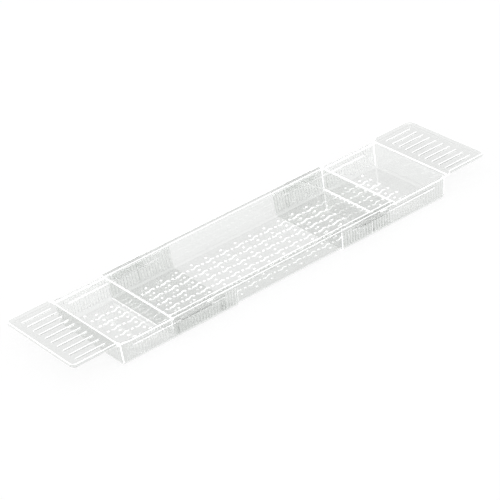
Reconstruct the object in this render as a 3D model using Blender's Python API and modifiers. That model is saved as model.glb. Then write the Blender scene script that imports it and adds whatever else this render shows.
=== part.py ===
"""Extendable bath caddy in clear polystyrene.

A centre tray rides on two end trays. Each end tray slides out from under the centre tray,
and carries a ribbed ledge that rests on the edge of the bath.
X runs along the caddy, Y across it, Z up. The caddy stands on Z = 0.
"""

import math

import bmesh
import bpy
from mathutils import Matrix, Vector

# Wall of every moulding, and the clearances between them
WALL = 0.0016
WALL_LEAN = 0.07
SLIDE_GAP = 0.0004
SIDE_GAP = 0.00045
STOP_GAP = 0.0003
EMBED = 0.0004

# Centre tray
TRAY_WIDTH = 0.180
CENTRE_LENGTH = 0.413
CENTRE_HEIGHT = 0.0415
FLANGE_WIDTH = 0.0103
LIP_DROP = 0.003
END_RIM_WIDTH = 0.0026
CENTRE_FILLET = 0.004

# Clips that hang from the centre tray's flanges and hook into the slots
CLIP_LENGTH = 0.0535
CLIP_INSET = 0.018
HOOK_DEPTH = 0.0012
HOOK_HEIGHT = 0.0018

# End trays
RIM_WIDTH = 0.0049
END_FILLET = 0.005
SLOT_LENGTH = 0.1633
SLOT_HEIGHT = 0.003
SLOT_DROP = 0.0113
SLOT_INSET = 0.020
SLOT_TO_WALL = 0.0209
GROOVE_DEPTH = 0.0006
LEFT_TO_STOP = 0.0262
RIGHT_TO_STOP = 0.0087

# Upright ribs on the long walls of the end trays
REED_PITCH = 0.00514
REED_RADIUS = 0.00095
REED_HEIGHT = 0.0006
REED_MARGIN = 0.003
REED_SIDES = 4

# Ledges that rest on the bath
LEDGE_LENGTH = 0.0797
LEDGE_RISE = 0.0012
BORDER_HEIGHT = 0.0049
LEDGE_CORNER = 0.0064
RIB_PITCH = 0.01525
RIB_WIDTH = 0.004
RIB_HEIGHT = 0.0016
RIB_ROUND = 0.0008
RIB_INNER_INSET = 0.0138
RIB_OUTER_INSET = 0.0159
RIB_SIDE_MARGIN = 0.014

# Drain slots in the shape of a wave, with a round hole midway between neighbouring waves,
# along and across the floor
MOTIF_LENGTH = 0.0276
MOTIF_WIDTH = 0.0205
HOLE_DIAMETER = 0.005
HOLE_SIDES = 6
HOLE_END_MARGIN = 0.027
HOLE_SIDE_MARGIN = 0.009
FIRST_HOLE_INSET = 0.0145
WAVE_LENGTH = 0.015
WAVE_PITCH = 0.016
WAVE_RISE = 0.0019
WAVE_WIDTH = 0.0024
WAVE_STEPS = 3

FILLET_STEPS = 3
WELD = 0.00001

# Heights of the centre tray
centre_floor = WALL + SLIDE_GAP + WALL
centre_inner_half_width = TRAY_WIDTH / 2 - FLANGE_WIDTH
centre_inner_half_length = CENTRE_LENGTH / 2 - END_RIM_WIDTH
flange_underside = CENTRE_HEIGHT - WALL

# Heights and widths of the end trays, taken from the centre tray that they carry
rim_top = flange_underside - SLIDE_GAP
end_floor = WALL
end_inner_half_width = centre_inner_half_width - WALL_LEAN * (CENTRE_HEIGHT - rim_top) + WALL + SIDE_GAP
rim_half_width = end_inner_half_width + RIM_WIDTH
end_tray_length = SLOT_INSET + SLOT_LENGTH + SLOT_TO_WALL
slot_height = rim_top - SLOT_DROP
ledge_top = rim_top + LEDGE_RISE

# Where the clips stand, measured from the middle of the centre tray
clip_outer = CENTRE_LENGTH / 2 - CLIP_INSET
clip_inner = clip_outer - CLIP_LENGTH

# Where the open end of each end tray stands, measured from the middle of the centre tray
left_reach = clip_inner - STOP_GAP - LEFT_TO_STOP - SLOT_INSET
right_reach = clip_inner - STOP_GAP - RIGHT_TO_STOP - SLOT_INSET
centre_place = (left_reach - right_reach) / 2


def clear_scene():
    """Remove the objects that a new file starts with."""
    for obj in list(bpy.data.objects):
        bpy.data.objects.remove(obj)


def new_collection(name):
    collection = bpy.data.collections.new(name)
    bpy.context.scene.collection.children.link(collection)
    return collection


def clear_plastic(name, colour):
    """Clear, faintly grey polystyrene, glossy from the mould."""
    material = bpy.data.materials.new(name)
    material.use_nodes = True
    shader = material.node_tree.nodes["Principled BSDF"]
    shader.inputs["Base Color"].default_value = (*colour, 1.0)
    shader.inputs["Roughness"].default_value = 0.06
    shader.inputs["Metallic"].default_value = 0.0
    shader.inputs["Transmission Weight"].default_value = 0.9
    return material


def add_object(name, bm, collection, place=0.0):
    """Turn a bmesh into an object whose origin is at place along X."""
    mesh = bpy.data.meshes.new(name)
    bm.to_mesh(mesh)
    bm.free()
    obj = bpy.data.objects.new(name, mesh)
    obj.location.x = place
    collection.objects.link(obj)
    return obj


def add_tool(name, bm, place=0.0):
    """Add a shape that only cuts or joins, and isn't a piece of the caddy."""
    tool = add_object(name, bm, cutters, place)
    tool.hide_render = True
    tool.display_type = "WIRE"
    return tool


def solidify(obj):
    """Give a sheet its wall, behind the side that faces up and inward."""
    shell = obj.modifiers.new("wall", "SOLIDIFY")
    shell.thickness = WALL
    shell.offset = -1.0
    shell.use_even_offset = True


def combine(obj, tool, operation):
    boolean = obj.modifiers.new(tool.name, "BOOLEAN")
    boolean.operation = operation
    boolean.solver = "EXACT"
    boolean.object = tool


def face_towards(bm, direction):
    """The face of a box whose middle lies furthest in a direction."""
    return max(bm.faces, key=lambda face: face.calc_center_median().dot(direction))


def edges_between(bm, is_wanted):
    """The edges whose two ends both pass a test."""
    return [edge for edge in bm.edges if all(is_wanted(vert.co) for vert in edge.verts)]


def side_faces_up(bm, direction):
    """Turn a sheet so that its lowest face looks in a direction."""
    bm.normal_update()
    lowest = min(bm.faces, key=lambda face: face.calc_center_median().z)
    if lowest.normal.dot(direction) < 0:
        bmesh.ops.reverse_faces(bm, faces=bm.faces)


def leaning_box(low, high, lean_low, lean_high, lean_side):
    """A box whose walls come in towards its floor, by a lean for each end and for the sides."""
    bm = bmesh.new()
    bmesh.ops.create_cube(bm, size=1.0)
    depth = high.z - low.z
    for vert in bm.verts:
        drop = depth if vert.co.z < 0 else 0.0
        x = low.x + lean_low * drop if vert.co.x < 0 else high.x - lean_high * drop
        y = low.y + lean_side * drop if vert.co.y < 0 else high.y - lean_side * drop
        z = low.z if vert.co.z < 0 else high.z
        vert.co = Vector((x, y, z))
    return bm


def round_edges(bm, edges, radius, steps=FILLET_STEPS):
    bmesh.ops.bevel(
        bm, geom=edges, offset=radius, offset_type="OFFSET", segments=steps, profile=0.5, affect="EDGES"
    )


def box(low, high):
    return leaning_box(low, high, 0.0, 0.0, 0.0)


def add_to(bm, other):
    """Copy another bmesh into this one."""
    scrap = bpy.data.meshes.new("scrap")
    other.to_mesh(scrap)
    bm.from_mesh(scrap)
    bpy.data.meshes.remove(scrap)
    other.free()


def turn_to_side(bm, side):
    """Turn a bmesh half way round for the left tray, which is the same moulding as the right one."""
    bmesh.ops.scale(bm, vec=(side, side, 1.0), verts=bm.verts)
    return bm


def extruded_outline(points, length):
    """A flat outline in Y and Z, made as a filled curve and drawn out along X."""
    curve = bpy.data.curves.new("outline", "CURVE")
    curve.dimensions = "2D"
    curve.fill_mode = "BOTH"
    curve.extrude = length / 2
    spline = curve.splines.new("POLY")
    spline.points.add(len(points) - 1)
    spline.use_cyclic_u = True
    for point, (y, z) in zip(spline.points, points):
        point.co = (y, z, 0.0, 1.0)
    obj = bpy.data.objects.new("outline", curve)
    bpy.context.scene.collection.objects.link(obj)
    depsgraph = bpy.context.evaluated_depsgraph_get()
    mesh = bpy.data.meshes.new_from_object(obj.evaluated_get(depsgraph))
    bm = bmesh.new()
    bm.from_mesh(mesh)
    bpy.data.objects.remove(obj)
    bpy.data.meshes.remove(mesh)
    bmesh.ops.remove_doubles(bm, verts=bm.verts, dist=WELD)
    across_to_x = Matrix(((0, 0, 1, 0), (1, 0, 0, 0), (0, 1, 0, 0), (0, 0, 0, 1)))
    bmesh.ops.transform(bm, matrix=across_to_x, verts=bm.verts)
    bmesh.ops.recalc_face_normals(bm, faces=bm.faces)
    return bm


def hole_columns(first, count):
    return [first + MOTIF_LENGTH * step for step in range(count)]


def hole_rows(count):
    return [MOTIF_WIDTH * (step - (count - 1) / 2) for step in range(count)]


def motif_rows():
    """How many rows of waves fit across the floor of the centre tray."""
    floor_half_width = centre_inner_half_width - WALL_LEAN * (CENTRE_HEIGHT - centre_floor)
    usable = 2 * (floor_half_width - CENTRE_FILLET - HOLE_SIDE_MARGIN)
    return int(usable / MOTIF_WIDTH)


def hole_outline():
    """A round hole as a polygon."""
    turns = [2 * math.pi * step / HOLE_SIDES for step in range(HOLE_SIDES)]
    return [Vector((math.cos(turn), math.sin(turn), 0.0)) * HOLE_DIAMETER / 2 for turn in turns]


def wave_outline():
    """A narrow slot that follows one wave: out along its left side, back along its right."""
    outline = []
    for side in (1, -1):
        for step in range(WAVE_STEPS + 1):
            x = side * WAVE_LENGTH * (step / WAVE_STEPS - 0.5)
            turn = 2 * math.pi * x / WAVE_PITCH
            slope = WAVE_RISE * math.cos(turn) * 2 * math.pi / WAVE_PITCH
            leftward = Vector((-slope, 1.0, 0.0)).normalized()
            outline.append(Vector((x, WAVE_RISE * math.sin(turn), 0.0)) - side * leftward * WAVE_WIDTH / 2)
    return outline


def floor_cutter(outline, places, floor_top):
    """A pin with the given outline at each place, longer than the floor is thick."""
    bm = bmesh.new()
    for x, y in places:
        foot = Vector((x, y, floor_top - 3 * WALL / 2))
        face = bm.faces.new([bm.verts.new(point + foot) for point in outline])
        drawn = bmesh.ops.extrude_face_region(bm, geom=[face])["geom"]
        top = [item for item in drawn if isinstance(item, bmesh.types.BMVert)]
        bmesh.ops.translate(bm, verts=top, vec=(0.0, 0.0, 2 * WALL))
    bmesh.ops.recalc_face_normals(bm, faces=bm.faces)
    return bm


def floor_openings(holes, waves, floor_top):
    """Everything that is cut from a floor."""
    bm = floor_cutter(hole_outline(), holes, floor_top)
    add_to(bm, floor_cutter(wave_outline(), waves, floor_top))
    return bm


def centre_sheet():
    """The upper side of the centre tray: a leaning tub, its flanges and their lips."""
    corner = Vector((centre_inner_half_length, centre_inner_half_width, CENTRE_HEIGHT))
    low = Vector((-corner.x, -corner.y, centre_floor))
    bm = leaning_box(low, corner, WALL_LEAN, WALL_LEAN, WALL_LEAN)
    bmesh.ops.delete(bm, geom=[face_towards(bm, Vector((0, 0, 1)))], context="FACES")
    uprights = [edge for edge in bm.edges if abs(edge.verts[0].co.z - edge.verts[1].co.z) > WALL]
    floor_edges = edges_between(bm, lambda co: co.z < centre_floor + WELD)
    rim = edges_between(bm, lambda co: co.z > CENTRE_HEIGHT - WELD)
    outer = bmesh.ops.extrude_edge_only(bm, edges=rim)["geom"]
    for vert in (item for item in outer if isinstance(item, bmesh.types.BMVert)):
        vert.co.x = math.copysign(CENTRE_LENGTH / 2, vert.co.x)
        vert.co.y = math.copysign(TRAY_WIDTH / 2, vert.co.y)
    sides = edges_between(bm, lambda co: abs(co.y) > TRAY_WIDTH / 2 - WELD)
    sides = [edge for edge in sides if abs(edge.verts[0].co.x - edge.verts[1].co.x) > WALL]
    lips = bmesh.ops.extrude_edge_only(bm, edges=sides)["geom"]
    for vert in (item for item in lips if isinstance(item, bmesh.types.BMVert)):
        vert.co.z -= LIP_DROP
    round_edges(bm, uprights + floor_edges, CENTRE_FILLET)
    bmesh.ops.recalc_face_normals(bm, faces=bm.faces)
    side_faces_up(bm, Vector((0, 0, 1)))
    return bm


def end_wall_outer_face(height):
    """How far out the long wall of an end tray stands at a height."""
    return end_inner_half_width - WALL_LEAN * (rim_top - height) + WALL


def clip_outline():
    """Section of a clip: a tongue that leans in from the lip, with a hook at its foot."""
    hook_top = slot_height + HOOK_HEIGHT / 2
    hook_foot = slot_height - HOOK_HEIGHT / 2
    hook_tip = end_wall_outer_face(slot_height) - HOOK_DEPTH
    tongue_inner = end_wall_outer_face(slot_height) + REED_HEIGHT + SIDE_GAP
    top_outer = TRAY_WIDTH / 2 - EMBED
    top_inner = TRAY_WIDTH / 2 - WALL
    top = flange_underside + WALL / 2
    return [
        (top_outer, top),
        (top_inner, top),
        (top_inner, flange_underside - EMBED),
        (tongue_inner, hook_top),
        (hook_tip, hook_top),
        (hook_tip, hook_foot),
        (tongue_inner + WALL - EMBED, hook_foot),
        (top_outer, flange_underside - EMBED),
    ]


def clip_shapes():
    """Four clips, near each end of both flanges."""
    shapes = bmesh.new()
    middle = (clip_outer + clip_inner) / 2
    for end in (-1, 1):
        for side in (-1, 1):
            clip = extruded_outline(clip_outline(), CLIP_LENGTH)
            bmesh.ops.translate(clip, vec=(middle, 0.0, 0.0), verts=clip.verts)
            bmesh.ops.scale(clip, vec=(end, side, 1.0), verts=clip.verts)
            if end * side < 0:
                bmesh.ops.reverse_faces(clip, faces=clip.faces)
            add_to(shapes, clip)
    return shapes


def centre_floor_places():
    """Places of the centre tray's holes, half of them between waves along a row, and of its waves."""
    floor_half_length = centre_inner_half_length - WALL_LEAN * (CENTRE_HEIGHT - centre_floor)
    usable = 2 * (floor_half_length - CENTRE_FILLET - HOLE_END_MARGIN)
    motifs = int(usable / MOTIF_LENGTH)
    rows = motif_rows()
    start = -MOTIF_LENGTH * motifs / 2
    wave_columns = hole_columns(start + MOTIF_LENGTH / 2, motifs)
    between = [(x, y) for x in hole_columns(start, motifs + 1) for y in hole_rows(rows)]
    beside = [(x, y) for x in wave_columns for y in hole_rows(rows + 1)]
    waves = [(x, y) for x in wave_columns for y in hole_rows(rows)]
    return between + beside, waves


def make_centre_tray():
    tray = add_object("centre_tray", centre_sheet(), caddy, centre_place)
    solidify(tray)
    combine(tray, add_tool("centre_clips", clip_shapes(), centre_place), "UNION")
    openings = floor_openings(*centre_floor_places(), centre_floor)
    combine(tray, add_tool("centre_floor_openings", openings, centre_place), "DIFFERENCE")
    tray.data.materials.append(clear_plastic("centre tray polystyrene", (0.86, 0.89, 0.88)))
    return tray


def end_sheet():
    """The upper side of an end tray, open at X = 0, with a rim turned out on three sides."""
    high = Vector((end_tray_length, end_inner_half_width, rim_top))
    low = Vector((0.0, -high.y, end_floor))
    bm = leaning_box(low, high, 0.0, WALL_LEAN, WALL_LEAN)
    top = face_towards(bm, Vector((0, 0, 1)))
    open_end = face_towards(bm, Vector((-1, 0, 0)))
    bmesh.ops.delete(bm, geom=[top, open_end], context="FACES")
    rim = edges_between(bm, lambda co: co.z > rim_top - WELD)
    rounded = [
        edge
        for edge in bm.edges
        if edge not in rim and not all(vert.co.x < WELD for vert in edge.verts)
    ]
    outer = bmesh.ops.extrude_edge_only(bm, edges=rim)["geom"]
    for vert in (item for item in outer if isinstance(item, bmesh.types.BMVert)):
        vert.co.y = math.copysign(rim_half_width, vert.co.y)
        if vert.co.x > WELD:
            vert.co.x = end_tray_length + RIM_WIDTH
    round_edges(bm, rounded, END_FILLET)
    bmesh.ops.recalc_face_normals(bm, faces=bm.faces)
    side_faces_up(bm, Vector((0, 0, 1)))
    return bm


def ledge_shape():
    """A shallow dish with a border on three sides, as a closed shell."""
    start = end_tray_length + EMBED
    high = Vector((end_tray_length + LEDGE_LENGTH - WALL, rim_half_width - WALL, ledge_top + BORDER_HEIGHT))
    low = Vector((start, -high.y, ledge_top))
    bm = box(low, high)
    top = face_towards(bm, Vector((0, 0, 1)))
    inner_end = face_towards(bm, Vector((-1, 0, 0)))
    bmesh.ops.delete(bm, geom=[top, inner_end], context="FACES")
    corners = [
        edge
        for edge in bm.edges
        if abs(edge.verts[0].co.z - edge.verts[1].co.z) > WELD and edge.verts[0].co.x > start + WELD
    ]
    round_edges(bm, corners, LEDGE_CORNER)
    bmesh.ops.recalc_face_normals(bm, faces=bm.faces)
    side_faces_up(bm, Vector((0, 0, 1)))
    return bm


def rib_count():
    usable = 2 * (rim_half_width - WALL - RIB_SIDE_MARGIN)
    return int(usable / RIB_PITCH) + 1


def ledge_ribs():
    """Low bars with rounded tops, side by side across the ledge."""
    shapes = bmesh.new()
    count = rib_count()
    for step in range(count):
        y = RIB_PITCH * (step - (count - 1) / 2)
        low = Vector((end_tray_length + RIB_INNER_INSET, y - RIB_WIDTH / 2, ledge_top - WALL / 2))
        high = Vector(
            (end_tray_length + LEDGE_LENGTH - RIB_OUTER_INSET, y + RIB_WIDTH / 2, ledge_top + RIB_HEIGHT)
        )
        bar = box(low, high)
        round_edges(bar, edges_between(bar, lambda co: co.z > ledge_top), RIB_ROUND, 1)
        add_to(shapes, bar)
    return shapes


def reed_shapes():
    """Upright ribs: thin pins sunk into the long walls, leaning as the walls do."""
    shapes = bmesh.new()
    foot = end_floor + END_FILLET
    head = rim_top - WALL / 2
    lean = math.atan(WALL_LEAN)
    count = int((end_tray_length - 2 * REED_MARGIN) / REED_PITCH) + 1
    for step in range(count):
        for side in (-1, 1):
            middle = (foot + head) / 2
            y = end_wall_outer_face(middle) + REED_HEIGHT - REED_RADIUS
            at = Matrix.Translation((REED_MARGIN + REED_PITCH * step, side * y, middle))
            turn = Matrix.Rotation(-side * lean, 4, "X")
            bmesh.ops.create_cone(
                shapes,
                cap_ends=True,
                segments=REED_SIDES,
                radius1=REED_RADIUS,
                radius2=REED_RADIUS,
                depth=(head - foot) / math.cos(lean),
                matrix=at @ turn,
            )
    return shapes


def wall_cutter(start, end, depth):
    """A bar beside each long wall, at the height of the slots, that cuts to a depth."""
    shapes = bmesh.new()
    face = end_wall_outer_face(slot_height)
    for side in (-1, 1):
        near, far = sorted((side * (face - depth), side * (face + REED_HEIGHT + WALL)))
        low = Vector((start, near, slot_height - SLOT_HEIGHT / 2))
        high = Vector((end, far, slot_height + SLOT_HEIGHT / 2))
        add_to(shapes, box(low, high))
    return shapes


def end_floor_places():
    """Places of an end tray's holes, with one more in each outer corner, and of its waves."""
    rows = motif_rows()
    floor_length = end_tray_length - WALL_LEAN * (rim_top - end_floor) - END_FILLET
    first_between = FIRST_HOLE_INSET + MOTIF_LENGTH / 2
    columns = int((floor_length - HOLE_END_MARGIN - first_between) / MOTIF_LENGTH) + 1
    wave_columns = hole_columns(FIRST_HOLE_INSET, columns)
    beside = [(x, y) for x in wave_columns for y in hole_rows(rows + 1)]
    between = [(x, y) for x in hole_columns(first_between, columns) for y in hole_rows(rows)]
    waves = [(x, y) for x in wave_columns for y in hole_rows(rows)]
    corner_x = first_between + MOTIF_LENGTH * (columns - 1)
    floor_half_width = end_inner_half_width - WALL_LEAN * (rim_top - end_floor) - END_FILLET
    corner_y = floor_half_width - HOLE_DIAMETER
    return beside + between + [(corner_x, corner_y), (corner_x, -corner_y)], waves


def make_end_tray(name, side, reach):
    """One end tray. Its origin is in the middle of its open end, and it slides along X."""
    place = centre_place + side * reach
    tray = add_object(name, turn_to_side(end_sheet(), side), caddy, place)
    solidify(tray)
    ledge = add_tool(name + "_ledge", turn_to_side(ledge_shape(), side), place)
    solidify(ledge)
    combine(tray, ledge, "UNION")
    combine(tray, add_tool(name + "_ribs", turn_to_side(ledge_ribs(), side), place), "UNION")
    combine(tray, add_tool(name + "_reeds", turn_to_side(reed_shapes(), side), place), "UNION")
    slots = wall_cutter(SLOT_INSET, SLOT_INSET + SLOT_LENGTH, 2 * WALL)
    combine(tray, add_tool(name + "_slots", turn_to_side(slots, side), place), "DIFFERENCE")
    grooves = wall_cutter(-WALL, SLOT_INSET + WALL, GROOVE_DEPTH)
    combine(tray, add_tool(name + "_grooves", turn_to_side(grooves, side), place), "DIFFERENCE")
    openings = turn_to_side(floor_openings(*end_floor_places(), end_floor), side)
    combine(tray, add_tool(name + "_floor_openings", openings, place), "DIFFERENCE")
    tray.data.materials.append(clear_plastic(name.replace("_", " ") + " polystyrene", (0.85, 0.88, 0.87)))
    return tray


clear_scene()
caddy = new_collection("bath_caddy")
cutters = new_collection("cutters")
make_centre_tray()
make_end_tray("left_end_tray", -1, left_reach)
make_end_tray("right_end_tray", 1, right_reach)
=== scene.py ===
# %% [markdown]
# # An extendable bath caddy in clear plastic
#
# The caddy is three mouldings: a centre tray, and two end trays that slide out from under it.
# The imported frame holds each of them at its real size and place, with plain faces. This lesson
# models each one again with the fine surface of the real moulding, and gives it a clear plastic.

# %% Load the frame
import math

import bmesh
import bpy
from mathutils import Matrix, Quaternion, Vector


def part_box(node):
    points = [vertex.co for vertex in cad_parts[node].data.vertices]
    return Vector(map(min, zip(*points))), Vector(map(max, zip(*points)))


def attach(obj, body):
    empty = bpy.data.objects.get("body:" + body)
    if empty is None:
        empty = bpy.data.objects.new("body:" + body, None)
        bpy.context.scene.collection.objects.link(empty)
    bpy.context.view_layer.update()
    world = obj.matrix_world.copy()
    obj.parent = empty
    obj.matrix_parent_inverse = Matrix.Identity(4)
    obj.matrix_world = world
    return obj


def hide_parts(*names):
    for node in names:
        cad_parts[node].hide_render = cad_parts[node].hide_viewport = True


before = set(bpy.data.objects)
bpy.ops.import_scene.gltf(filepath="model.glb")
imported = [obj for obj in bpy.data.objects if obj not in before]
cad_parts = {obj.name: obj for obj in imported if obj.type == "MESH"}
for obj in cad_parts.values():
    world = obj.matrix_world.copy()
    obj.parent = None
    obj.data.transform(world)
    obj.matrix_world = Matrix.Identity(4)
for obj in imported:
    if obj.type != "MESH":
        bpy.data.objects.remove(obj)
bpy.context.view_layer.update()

# %% [markdown]
# ## Camera
#
# A long lens on a far camera gives the nearly parallel edges of a product photo. The camera is
# placed by what it aims at, its bearing, its height angle and its distance, and then rolled a
# little, because the real caddy's upright edges lean in the picture.

# %% Place the camera
MM = 0.001
AIM = Vector((-5.99, 7.96, 17.04)) * MM
AZIMUTH = math.radians(-33.48)
ELEVATION = math.radians(30.0)
ROLL = math.radians(-8.77)
DISTANCE = 3.2035
FOCAL_LENGTH = 156.97
FURTHEST_SEEN = 100.0

camera = bpy.data.objects.new("camera", bpy.data.cameras.new("camera"))
bpy.context.scene.collection.objects.link(camera)
towards_camera = Vector((
    math.sin(AZIMUTH) * math.cos(ELEVATION),
    -math.cos(AZIMUTH) * math.cos(ELEVATION),
    math.sin(ELEVATION),
))
level_view = (-towards_camera).to_track_quat("-Z", "Y")
camera.location = AIM + DISTANCE * towards_camera
camera.rotation_mode = "QUATERNION"
camera.rotation_quaternion = level_view @ Quaternion((0, 0, 1), ROLL)
camera.data.lens = FOCAL_LENGTH
camera.data.clip_end = FURTHEST_SEEN
bpy.context.scene.camera = camera
print("camera at", tuple(round(value, 3) for value in camera.location))

# %% [markdown]
# ## Helpers for node trees
#
# Every tree here is built in the script. One helper adds a node of any kind, changes its
# settings, and gives its inputs either a value or a link from another node.

# %% One helper for every node tree
def add_node(tree, kind, inputs=(), **settings):
    """Add a node, change its settings, and give its inputs values or links."""
    made = tree.nodes.new(kind)
    for name, value in settings.items():
        setattr(made, name, value)
    for key, value in dict(inputs).items():
        if isinstance(value, bpy.types.NodeSocket):
            tree.links.new(value, made.inputs[key])
        else:
            made.inputs[key].default_value = value
    return made


def from_hex(code):
    """An sRGB hex colour as the linear colour that shaders work in."""
    shares = [int(code[place:place + 2], 16) / 255 for place in (1, 3, 5)]
    linear = [((v + 0.055) / 1.055) ** 2.4 if v > 0.04045 else v / 12.92 for v in shares]
    return (*linear, 1.0)


# %% [markdown]
# ## Light
#
# Clear plastic shows only what is behind it and what it mirrors, so its surroundings are its
# colour. The sky is brightest overhead, like a large soft box, and dim near the horizon, so that
# ribs and rounded corners pick up grey lines from the sides of the room. A second soft light
# stands in front, to the left: it lifts the walls that face the camera. A sky made of two smooth
# gradients gives both, with no hard reflections.

# %% Light the scene with a soft sky
OVERHEAD_STRENGTH = 0.9
OVERHEAD_FROM_HEIGHT = 0.8
HORIZON_STRENGTH = 0.06
FRONT_STRENGTH = 1.8
FRONT_WAY = (-0.50, -0.75, 0.43)
FRONT_STARTS_AT = 0.42
FRONT_FULL_AT = 0.95

world = bpy.data.worlds.new("soft sky")
world.use_nodes = True
bpy.context.scene.world = world
sky = world.node_tree
sky.nodes.clear()
direction = add_node(sky, "ShaderNodeTexCoord")
height = add_node(sky, "ShaderNodeSeparateXYZ", {0: direction.outputs["Generated"]})
overhead = add_node(sky, "ShaderNodeMapRange", {
    "Value": height.outputs["Z"],
    "From Min": 0.0,
    "From Max": OVERHEAD_FROM_HEIGHT,
    "To Min": HORIZON_STRENGTH,
    "To Max": OVERHEAD_STRENGTH,
}, interpolation_type="SMOOTHSTEP")
nearness = add_node(sky, "ShaderNodeVectorMath", {
    0: direction.outputs["Generated"],
    1: FRONT_WAY,
}, operation="DOT_PRODUCT")
front = add_node(sky, "ShaderNodeMapRange", {
    "Value": nearness.outputs["Value"],
    "From Min": FRONT_STARTS_AT,
    "From Max": FRONT_FULL_AT,
    "To Min": 0.0,
    "To Max": FRONT_STRENGTH,
}, interpolation_type="SMOOTHSTEP")
strength = add_node(sky, "ShaderNodeMath", {
    0: overhead.outputs["Result"],
    1: front.outputs["Result"],
}, operation="ADD")
background = add_node(sky, "ShaderNodeBackground", {
    "Color": from_hex("#FFFFFF"),
    "Strength": strength.outputs[0],
})
add_node(sky, "ShaderNodeOutputWorld", {"Surface": background.outputs["Background"]})
print("sky strength", HORIZON_STRENGTH, "to", OVERHEAD_STRENGTH, "and in front", FRONT_STRENGTH)

# %% [markdown]
# A ray that enters one wall may cross a dozen faces before it leaves the last one, and many more
# where trays overlap. A path that is cut short there comes back black, so the light is allowed
# many bounces. The plain Standard view keeps white paper white.

# %% Let the light cross many walls
LIGHT_BOUNCES = 128

bpy.context.scene.view_settings.view_transform = "Standard"
bpy.context.scene.cycles.max_bounces = LIGHT_BOUNCES
bpy.context.scene.cycles.transmission_bounces = LIGHT_BOUNCES
bpy.context.scene.cycles.glossy_bounces = LIGHT_BOUNCES
print("light bounces", LIGHT_BOUNCES)

# %% [markdown]
# ## Floor
#
# The floor is a sheet of white paper. What the lens sees of it, straight or through the plastic,
# is mostly plain white, as in a picture cut out on white. The rest of it is real matt paper, so
# the caddy still leaves a light shadow there.

# %% Lay the floor
FLOOR_SIZE = 40.0
FLOOR_DROP = 0.3 * MM

floor_shape = bmesh.new()
bmesh.ops.create_grid(floor_shape, x_segments=1, y_segments=1, size=FLOOR_SIZE / 2)
bmesh.ops.translate(floor_shape, verts=floor_shape.verts, vec=(0, 0, -FLOOR_DROP))
floor_mesh = bpy.data.meshes.new("floor")
floor_shape.to_mesh(floor_mesh)
floor_shape.free()
floor = bpy.data.objects.new("floor", floor_mesh)
bpy.context.scene.collection.objects.link(floor)
print("floor", FLOOR_SIZE, "m wide")

# %% Make the white paper
WHITE_SHARE = 0.9

paper = bpy.data.materials.new("white paper sweep")
paper.use_nodes = True
paper_tree = paper.node_tree
paper_tree.nodes.clear()
matt = add_node(paper_tree, "ShaderNodeBsdfDiffuse", {"Color": from_hex("#F4F4F4")})
plain_white = add_node(paper_tree, "ShaderNodeEmission", {
    "Color": from_hex("#FFFFFF"),
    "Strength": 1.0,
})
ray = add_node(paper_tree, "ShaderNodeLightPath").outputs
mirrored = add_node(paper_tree, "ShaderNodeMath", {
    0: ray["Is Glossy Ray"],
    1: ray["Is Transmission Ray"],
}, operation="MAXIMUM")
seen = add_node(paper_tree, "ShaderNodeMath", {
    0: ray["Is Camera Ray"],
    1: mirrored.outputs[0],
}, operation="MAXIMUM")
share = add_node(paper_tree, "ShaderNodeMath", {
    0: seen.outputs[0],
    1: WHITE_SHARE,
}, operation="MULTIPLY")
sweep = add_node(paper_tree, "ShaderNodeMixShader", {
    0: share.outputs[0],
    1: matt.outputs["BSDF"],
    2: plain_white.outputs["Emission"],
})
add_node(paper_tree, "ShaderNodeOutputMaterial", {"Surface": sweep.outputs["Shader"]})
floor.data.materials.append(paper)
print("floor finish", paper.name, "with", WHITE_SHARE, "of plain white")

# %% [markdown]
# ## Clear polystyrene
#
# General purpose polystyrene is the clear, hard plastic of most bathroom trays. It bends light
# more than glass does (an IOR of 1.59), so its edges catch bright lines, and it is faintly grey.
# It takes the polish of its mould, with a slight waviness from the way the melt flowed, about
# 22 mm from wave to wave. A Principled shader with full transmission gives all of this.

# %% Make the plastic
STYRENE_IOR = 1.59
FLOW_WAVE = 22 * MM
FLOW_DEPTH = 0.02 * MM
FLOW_DETAIL = 2.0
LEAST_HAZE = 0.02
MOST_HAZE = 0.05


def clear_styrene(name, tint):
    """Polished clear polystyrene with a trace of flow waviness and of haze."""
    material = bpy.data.materials.new(name)
    material.use_nodes = True
    tree = material.node_tree
    tree.nodes.clear()
    place = add_node(tree, "ShaderNodeTexCoord")
    flow = add_node(tree, "ShaderNodeTexNoise", {
        "Vector": place.outputs["Object"],
        "Scale": 1 / FLOW_WAVE,
        "Detail": FLOW_DETAIL,
    })
    bump = add_node(tree, "ShaderNodeBump", {
        "Height": flow.outputs["Fac"],
        "Distance": FLOW_DEPTH,
    })
    haze = add_node(tree, "ShaderNodeMapRange", {
        "Value": flow.outputs["Fac"],
        "To Min": LEAST_HAZE,
        "To Max": MOST_HAZE,
    })
    plastic = add_node(tree, "ShaderNodeBsdfPrincipled", {
        "Base Color": from_hex(tint),
        "Roughness": haze.outputs["Result"],
        "IOR": STYRENE_IOR,
        "Transmission Weight": 1.0,
        "Normal": bump.outputs["Normal"],
    })
    add_node(tree, "ShaderNodeOutputMaterial", {"Surface": plastic.outputs["BSDF"]})
    return material


tray_plastic = clear_styrene("clear moulded polystyrene", "#F3F4F3")
print("plastic", tray_plastic.name, "with an IOR of", STYRENE_IOR)

# %% [markdown]
# ### Painted highlights on the edges
#
# At its edges, folds and holes the same plastic looks white, because the light held in the sheet
# comes out there. A path tracer finds little of that light, so the edges get a painted highlight:
# a finish that is nearly opaque and white, with a painted glow for the light the sheet brings.
# The grain of a real edge is too fine to show in a render, so it is drawn as coarse as 0.8 mm.

# %% Make the white, glowing finish that paints highlights on the edges
EDGE_GRAIN = 0.8 * MM
EDGE_GRAIN_DETAIL = 3.0
EDGE_ROUGHNESS = 0.3
EDGE_CLEARNESS = 0.05
# The painted glow: light given off by the edge finish, though it is no lamp.
PAINTED_GLOW = 0.4


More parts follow.
